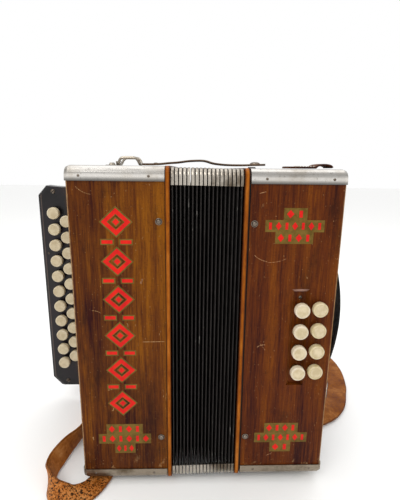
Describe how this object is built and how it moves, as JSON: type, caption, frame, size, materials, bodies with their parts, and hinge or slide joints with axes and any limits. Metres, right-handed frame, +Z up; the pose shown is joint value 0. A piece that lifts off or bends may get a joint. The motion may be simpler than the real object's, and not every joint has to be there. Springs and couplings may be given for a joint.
{
  "type": "button accordion",
  "caption": "Small wooden two-row button accordion with folding bellows, nickel-plated edge covers, cream buttons, foot rails and leather straps.",
  "frame": {"origin": "middle of the bounding box on the ground", "axes": "+Z up, front faces -Y, treble buttons at -X, bass case at +X; the bellows open along +X"},
  "size_m": [0.4042, 0.2936, 0.3104],
  "materials": {
    "treble_wood": "worn varnish",
    "bass_wood": "worn varnish",
    "nickel": "nickel plate, worn",
    "tan_edging": "tan cloth-covered edging",
    "bellows_cloth": "black cloth-covered card folds",
    "black_lacquer": "black lacquer",
    "cream_plastic": "cream celluloid",
    "brown_leather": "tan, scuffed",
    "black_leather": "black",
    "steel": "plain wire",
    "reed_wood": "unfinished"
  },
  "bodies": {
    "treble": {"fingerboard": "black_lacquer", "shoulder_strap": "brown_leather", "strap_hook": "nickel", "strap_lug_bottom": "nickel", "strap_lug_top": "nickel", "treble_axle": "steel", "treble_bellows_frame": "tan_edging", "treble_bottom_cover": "nickel", "treble_case": "treble_wood", "treble_foot_rail": "black_lacquer", "treble_grille": "treble_wood", "treble_reed_block": "reed_wood", "treble_top_cover": "nickel"},
    "bass": {"bass_axle": "steel", "bass_bellows_frame": "tan_edging", "bass_bottom_cover": "nickel", "bass_case": "bass_wood", "bass_end_panel": "bass_wood", "bass_foot_rail": "black_lacquer", "bass_reed_block": "reed_wood", "bass_strap": "brown_leather", "bass_top_cover": "nickel", "hand_strap": "black_leather", "strap_stud": "nickel", "top_tab": "brown_leather"},
    "air_button": {"air_button": "cream_plastic"},
    "bass_key_inner_1": {"bass_key_inner_1": "cream_plastic"},
    "bass_key_inner_2": {"bass_key_inner_2": "cream_plastic"},
    "bass_key_inner_3": {"bass_key_inner_3": "cream_plastic"},
    "bass_key_inner_4": {"bass_key_inner_4": "cream_plastic"},
    "bass_key_outer_1": {"bass_key_outer_1": "cream_plastic"},
    "bass_key_outer_2": {"bass_key_outer_2": "cream_plastic"},
    "bass_key_outer_3": {"bass_key_outer_3": "cream_plastic"},
    "bass_key_outer_4": {"bass_key_outer_4": "cream_plastic"},
    "bellows_folds_1": {"bellows_folds_1": "bellows_cloth"},
    "bellows_folds_2": {"bellows_folds_2": "bellows_cloth"},
    "bellows_folds_3": {"bellows_folds_3": "bellows_cloth"},
    "bellows_strap": {"bellows_strap": "brown_leather"},
    "treble_key_inner_01": {"treble_key_inner_01": "cream_plastic"},
    "treble_key_inner_02": {"treble_key_inner_02": "cream_plastic"},
    "treble_key_inner_03": {"treble_key_inner_03": "cream_plastic"},
    "treble_key_inner_04": {"treble_key_inner_04": "cream_plastic"},
    "treble_key_inner_05": {"treble_key_inner_05": "cream_plastic"},
    "treble_key_inner_06": {"treble_key_inner_06": "cream_plastic"},
    "treble_key_inner_07": {"treble_key_inner_07": "cream_plastic"},
    "treble_key_inner_08": {"treble_key_inner_08": "cream_plastic"},
    "treble_key_inner_09": {"treble_key_inner_09": "cream_plastic"},
    "treble_key_inner_10": {"treble_key_inner_10": "cream_plastic"},
    "treble_key_outer_01": {"treble_key_outer_01": "cream_plastic"},
    "treble_key_outer_02": {"treble_key_outer_02": "cream_plastic"},
    "treble_key_outer_03": {"treble_key_outer_03": "cream_plastic"},
    "treble_key_outer_04": {"treble_key_outer_04": "cream_plastic"},
    "treble_key_outer_05": {"treble_key_outer_05": "cream_plastic"},
    "treble_key_outer_06": {"treble_key_outer_06": "cream_plastic"},
    "treble_key_outer_07": {"treble_key_outer_07": "cream_plastic"},
    "treble_key_outer_08": {"treble_key_outer_08": "cream_plastic"},
    "treble_key_outer_09": {"treble_key_outer_09": "cream_plastic"},
    "treble_key_outer_10": {"treble_key_outer_10": "cream_plastic"},
    "treble_key_outer_11": {"treble_key_outer_11": "cream_plastic"},
    "wire_ring": {"wire_ring": "steel"}
  },
  "joints": [
    {"name": "bellows_open", "type": "slide", "parent": "treble", "child": "bass", "axis": [1, 0, 0], "range_m": [0, 0.36]},
    {"name": "folds_1_spread", "type": "slide", "parent": "treble", "child": "bellows_folds_1", "axis": [1, 0, 0], "range_m": [0, 0.091]},
    {"name": "folds_2_spread", "type": "slide", "parent": "treble", "child": "bellows_folds_2", "axis": [1, 0, 0], "range_m": [0, 0.181]},
    {"name": "folds_3_spread", "type": "slide", "parent": "treble", "child": "bellows_folds_3", "axis": [1, 0, 0], "range_m": [0, 0.271]},
    {"name": "wire_ring_lift", "type": "hinge", "parent": "treble", "child": "wire_ring", "pos_m": [-0.09956, -0.03281, 0.3029], "axis": [0, -1, 0], "range_deg": [0, 60]},
    {"name": "bellows_strap_lift", "type": "hinge", "parent": "wire_ring", "child": "bellows_strap", "pos_m": [-0.07886, -0.03281, 0.3029], "axis": [0, -1, 0], "range_deg": [0, 100]},
    {"name": "air_button_press", "type": "slide", "parent": "bass", "child": "air_button", "axis": [0, -1, 0], "range_m": [0, 0.0035], "stiffness_N_per_m": 400, "springref_m": -0.004},
    {"name": "bass_key_inner_1_press", "type": "hinge", "parent": "bass", "child": "bass_key_inner_1", "pos_m": [0.04744, -0.10601, 0.1767], "axis": [0, 0, 1], "range_deg": [0, 6.22], "stiffness_Nm_per_rad": 0.3, "springref_deg": -3.44},
    {"name": "bass_key_inner_2_press", "type": "hinge", "parent": "bass", "child": "bass_key_inner_2", "pos_m": [0.04744, -0.10601, 0.157], "axis": [0, 0, 1], "range_deg": [0, 6.22], "stiffness_Nm_per_rad": 0.3, "springref_deg": -3.44},
    {"name": "bass_key_inner_3_press", "type": "hinge", "parent": "bass", "child": "bass_key_inner_3", "pos_m": [0.04744, -0.10601, 0.1373], "axis": [0, 0, 1], "range_deg": [0, 6.22], "stiffness_Nm_per_rad": 0.3, "springref_deg": -3.44},
    {"name": "bass_key_inner_4_press", "type": "hinge", "parent": "bass", "child": "bass_key_inner_4", "pos_m": [0.04744, -0.10601, 0.1176], "axis": [0, 0, 1], "range_deg": [0, 6.22], "stiffness_Nm_per_rad": 0.3, "springref_deg": -3.44},
    {"name": "bass_key_outer_1_press", "type": "hinge", "parent": "bass", "child": "bass_key_outer_1", "pos_m": [0.04744, -0.10601, 0.1867], "axis": [0, 0, 1], "range_deg": [0, 3.52], "stiffness_Nm_per_rad": 0.3, "springref_deg": -3.44},
    {"name": "bass_key_outer_2_press", "type": "hinge", "parent": "bass", "child": "bass_key_outer_2", "pos_m": [0.04744, -0.10601, 0.167], "axis": [0, 0, 1], "range_deg": [0, 3.52], "stiffness_Nm_per_rad": 0.3, "springref_deg": -3.44},
    {"name": "bass_key_outer_3_press", "type": "hinge", "parent": "bass", "child": "bass_key_outer_3", "pos_m": [0.04744, -0.10601, 0.1473], "axis": [0, 0, 1], "range_deg": [0, 3.52], "stiffness_Nm_per_rad": 0.3, "springref_deg": -3.44},
    {"name": "bass_key_outer_4_press", "type": "hinge", "parent": "bass", "child": "bass_key_outer_4", "pos_m": [0.04744, -0.10601, 0.1276], "axis": [0, 0, 1], "range_deg": [0, 3.52], "stiffness_Nm_per_rad": 0.3, "springref_deg": -3.44},
    {"name": "treble_key_inner_01_press", "type": "hinge", "parent": "treble", "child": "treble_key_inner_01", "pos_m": [-0.11256, 0.01749, 0.23915], "axis": [0, 0, -1], "range_deg": [0, 3.26], "stiffness_Nm_per_rad": 0.8, "springref_deg": -2.86},
    {"name": "treble_key_inner_02_press", "type": "hinge", "parent": "treble", "child": "treble_key_inner_02", "pos_m": [-0.11256, 0.01749, 0.22065], "axis": [0, 0, -1], "range_deg": [0, 3.26], "stiffness_Nm_per_rad": 0.8, "springref_deg": -2.86},
    {"name": "treble_key_inner_03_press", "type": "hinge", "parent": "treble", "child": "treble_key_inner_03", "pos_m": [-0.11256, 0.01749, 0.20215], "axis": [0, 0, -1], "range_deg": [0, 3.26], "stiffness_Nm_per_rad": 0.8, "springref_deg": -2.86},
    {"name": "treble_key_inner_04_press", "type": "hinge", "parent": "treble", "child": "treble_key_inner_04", "pos_m": [-0.11256, 0.01749, 0.18365], "axis": [0, 0, -1], "range_deg": [0, 3.26], "stiffness_Nm_per_rad": 0.8, "springref_deg": -2.86},
    {"name": "treble_key_inner_05_press", "type": "hinge", "parent": "treble", "child": "treble_key_inner_05", "pos_m": [-0.11256, 0.01749, 0.16515], "axis": [0, 0, -1], "range_deg": [0, 3.26], "stiffness_Nm_per_rad": 0.8, "springref_deg": -2.86},
    {"name": "treble_key_inner_06_press", "type": "hinge", "parent": "treble", "child": "treble_key_inner_06", "pos_m": [-0.11256, 0.01749, 0.14665], "axis": [0, 0, -1], "range_deg": [0, 3.26], "stiffness_Nm_per_rad": 0.8, "springref_deg": -2.86},
    {"name": "treble_key_inner_07_press", "type": "hinge", "parent": "treble", "child": "treble_key_inner_07", "pos_m": [-0.11256, 0.01749, 0.12815], "axis": [0, 0, -1], "range_deg": [0, 3.26], "stiffness_Nm_per_rad": 0.8, "springref_deg": -2.86},
    {"name": "treble_key_inner_08_press", "type": "hinge", "parent": "treble", "child": "treble_key_inner_08", "pos_m": [-0.11256, 0.01749, 0.10965], "axis": [0, 0, -1], "range_deg": [0, 3.26], "stiffness_Nm_per_rad": 0.8, "springref_deg": -2.86},
    {"name": "treble_key_inner_09_press", "type": "hinge", "parent": "treble", "child": "treble_key_inner_09", "pos_m": [-0.11256, 0.01749, 0.09115], "axis": [0, 0, -1], "range_deg": [0, 3.26], "stiffness_Nm_per_rad": 0.8, "springref_deg": -2.86},
    {"name": "treble_key_inner_10_press", "type": "hinge", "parent": "treble", "child": "treble_key_inner_10", "pos_m": [-0.11256, 0.01749, 0.07265], "axis": [0, 0, -1], "range_deg": [0, 3.26], "stiffness_Nm_per_rad": 0.8, "springref_deg": -2.86},
    {"name": "treble_key_outer_01_press", "type": "hinge", "parent": "treble", "child": "treble_key_outer_01", "pos_m": [-0.11256, 0.01749, 0.2484], "axis": [0, 0, -1], "range_deg": [0, 2.62], "stiffness_Nm_per_rad": 0.8, "springref_deg": -2.86},
    {"name": "treble_key_outer_02_press", "type": "hinge", "parent": "treble", "child": "treble_key_outer_02", "pos_m": [-0.11256, 0.01749, 0.2299], "axis": [0, 0, -1], "range_deg": [0, 2.62], "stiffness_Nm_per_rad": 0.8, "springref_deg": -2.86},
    {"name": "treble_key_outer_03_press", "type": "hinge", "parent": "treble", "child": "treble_key_outer_03", "pos_m": [-0.11256, 0.01749, 0.2114], "axis": [0, 0, -1], "range_deg": [0, 2.62], "stiffness_Nm_per_rad": 0.8, "springref_deg": -2.86},
    {"name": "treble_key_outer_04_press", "type": "hinge", "parent": "treble", "child": "treble_key_outer_04", "pos_m": [-0.11256, 0.01749, 0.1929], "axis": [0, 0, -1], "range_deg": [0, 2.62], "stiffness_Nm_per_rad": 0.8, "springref_deg": -2.86},
    {"name": "treble_key_outer_05_press", "type": "hinge", "parent": "treble", "child": "treble_key_outer_05", "pos_m": [-0.11256, 0.01749, 0.1744], "axis": [0, 0, -1], "range_deg": [0, 2.62], "stiffness_Nm_per_rad": 0.8, "springref_deg": -2.86},
    {"name": "treble_key_outer_06_press", "type": "hinge", "parent": "treble", "child": "treble_key_outer_06", "pos_m": [-0.11256, 0.01749, 0.1559], "axis": [0, 0, -1], "range_deg": [0, 2.62], "stiffness_Nm_per_rad": 0.8, "springref_deg": -2.86},
    {"name": "treble_key_outer_07_press", "type": "hinge", "parent": "treble", "child": "treble_key_outer_07", "pos_m": [-0.11256, 0.01749, 0.1374], "axis": [0, 0, -1], "range_deg": [0, 2.62], "stiffness_Nm_per_rad": 0.8, "springref_deg": -2.86},
    {"name": "treble_key_outer_08_press", "type": "hinge", "parent": "treble", "child": "treble_key_outer_08", "pos_m": [-0.11256, 0.01749, 0.1189], "axis": [0, 0, -1], "range_deg": [0, 2.62], "stiffness_Nm_per_rad": 0.8, "springref_deg": -2.86},
    {"name": "treble_key_outer_09_press", "type": "hinge", "parent": "treble", "child": "treble_key_outer_09", "pos_m": [-0.11256, 0.01749, 0.1004], "axis": [0, 0, -1], "range_deg": [0, 2.62], "stiffness_Nm_per_rad": 0.8, "springref_deg": -2.86},
    {"name": "treble_key_outer_10_press", "type": "hinge", "parent": "treble", "child": "treble_key_outer_10", "pos_m": [-0.11256, 0.01749, 0.0819], "axis": [0, 0, -1], "range_deg": [0, 2.62], "stiffness_Nm_per_rad": 0.8, "springref_deg": -2.86},
    {"name": "treble_key_outer_11_press", "type": "hinge", "parent": "treble", "child": "treble_key_outer_11", "pos_m": [-0.11256, 0.01749, 0.0634], "axis": [0, 0, -1], "range_deg": [0, 2.62], "stiffness_Nm_per_rad": 0.8, "springref_deg": -2.86}
  ],
  "couplings": [
    {"joint": "folds_1_spread", "follows": "bellows_open", "ratio": 0.25},
    {"joint": "folds_2_spread", "follows": "bellows_open", "ratio": 0.5},
    {"joint": "folds_3_spread", "follows": "bellows_open", "ratio": 0.75}
  ]
}
